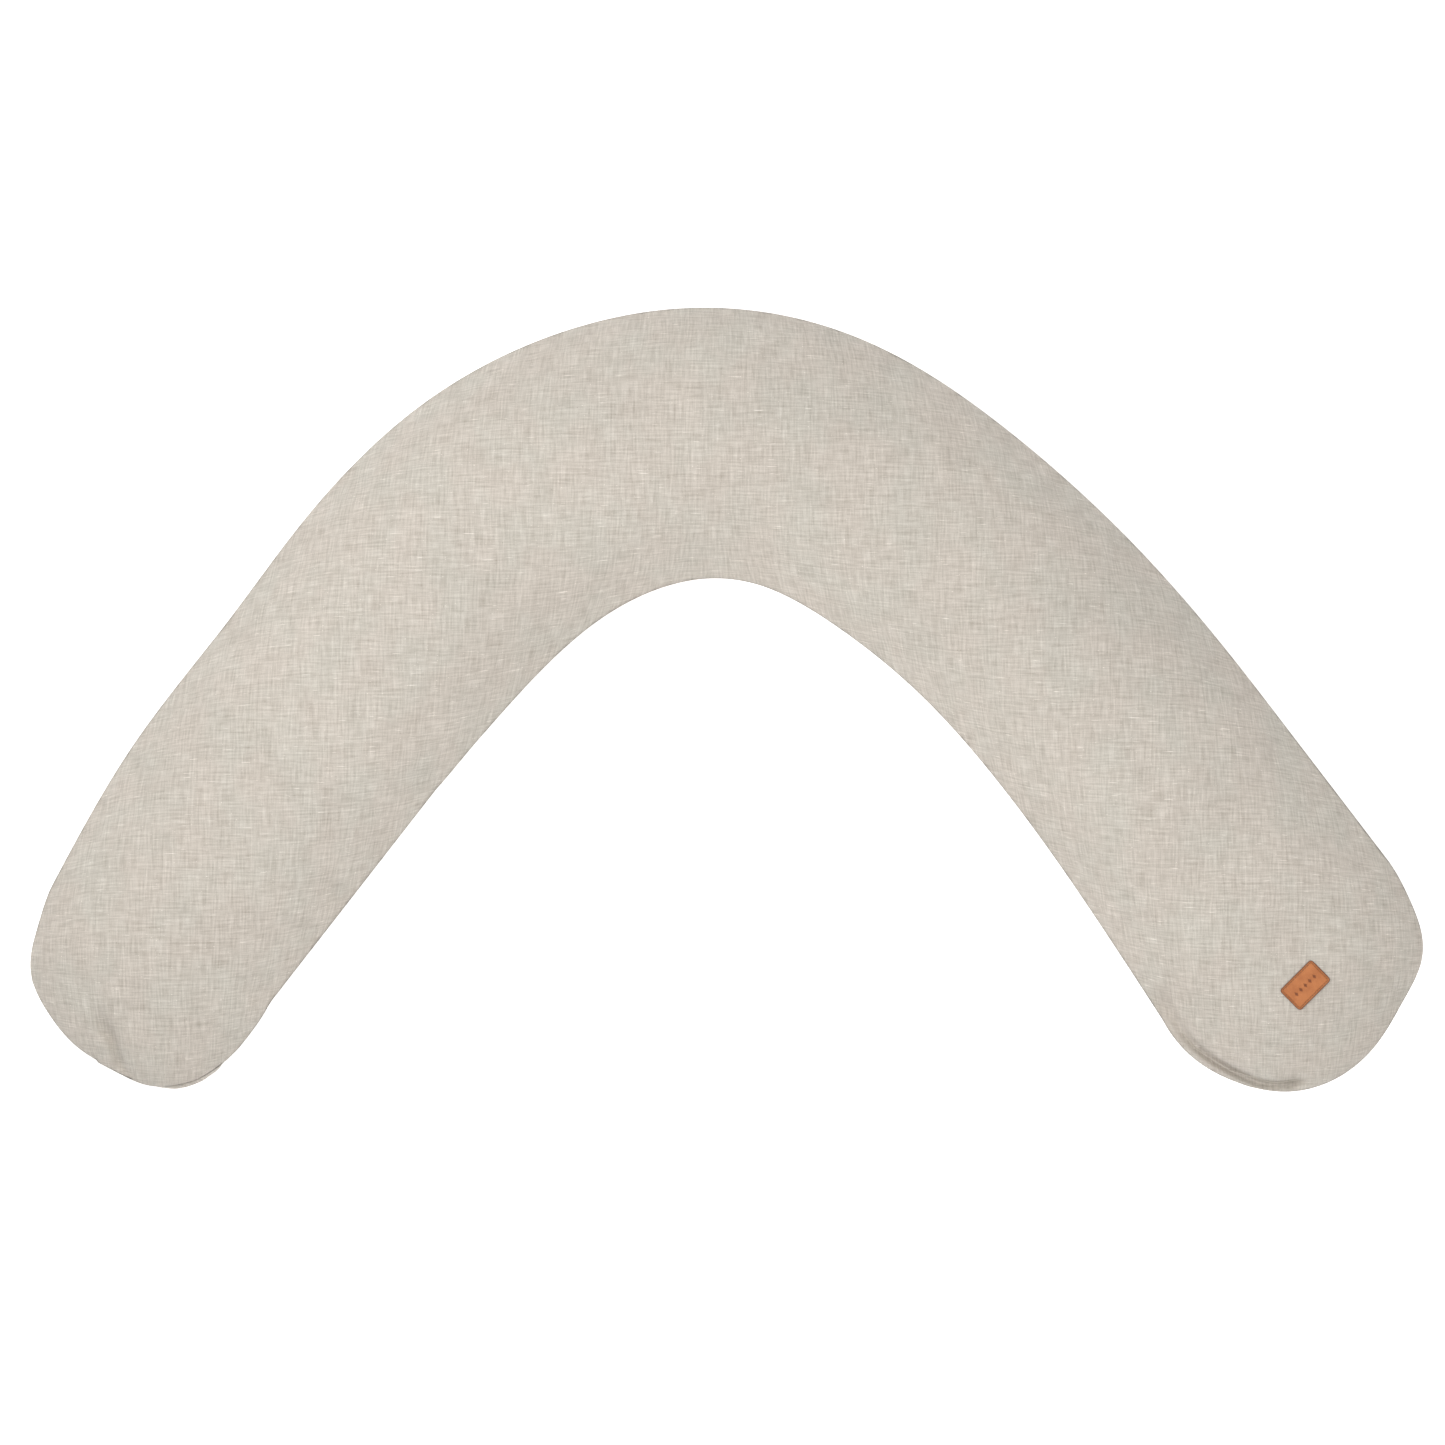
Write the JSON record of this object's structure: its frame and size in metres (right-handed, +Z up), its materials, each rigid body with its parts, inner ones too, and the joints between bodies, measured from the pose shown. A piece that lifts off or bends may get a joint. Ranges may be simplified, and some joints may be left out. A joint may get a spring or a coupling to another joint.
{
  "type": "nursing pillow",
  "caption": "Boomerang-shaped nursing pillow lying flat: a removable linen cover with an edge zip and a leather label, over a cotton liner filled with light beads.",
  "frame": {"origin": "on the floor under the middle of the outline's bounding box", "axes": "+Z up from the floor; +X from the zip's arm to the label's arm; +Y from the open side between the two ends to the crown"},
  "size_m": [1.3788, 0.7754, 0.14],
  "materials": {
    "linen": "plain-woven natural linen",
    "cotton": "matt white cotton",
    "beads": "white expanded beads",
    "thread": "spun thread",
    "leather": "tan, satin, with burnt edges",
    "leather_thread": "waxed thread",
    "tape": "woven tape",
    "nylon": "satin nylon",
    "metal": "satin zinc",
    "satin": "blank woven satin"
  },
  "bodies": {
    "pillow": {"cover_top_panel": "linen", "cover_bottom_panel": "linen", "liner_top_panel": "cotton", "liner_bottom_panel": "cotton", "liner_seam_thread": "cotton", "bead_filling": "beads", "cover_seam_thread": "thread", "zip_hem_thread": "thread", "leather_label": "leather", "label_thread": "leather_thread", "zip_tape_upper": "tape", "zip_tape_lower": "tape", "zip_coil_upper": "nylon", "zip_coil_lower": "nylon", "zip_top_stop_upper": "metal", "zip_top_stop_lower": "metal", "zip_bottom_stop": "metal", "care_label": "satin"},
    "slider": {"zip_slider_body": "metal"},
    "pull_tab": {"zip_pull_tab": "metal"}
  },
  "joints": [
    {"name": "zip_slide", "type": "slide", "parent": "pillow", "child": "slider", "axis": [0.6142, 0.7892, 0], "range_m": [0, 0.236], "deforming": ["zip_coil_upper", "zip_coil_lower"]},
    {"name": "pull_tab_hinge", "type": "hinge", "parent": "slider", "child": "pull_tab", "pos_m": [-0.4438, -0.28629, 0.05338], "axis": [-0.3765, 0.293, -0.8789], "range_deg": [0, 170]}
  ]
}
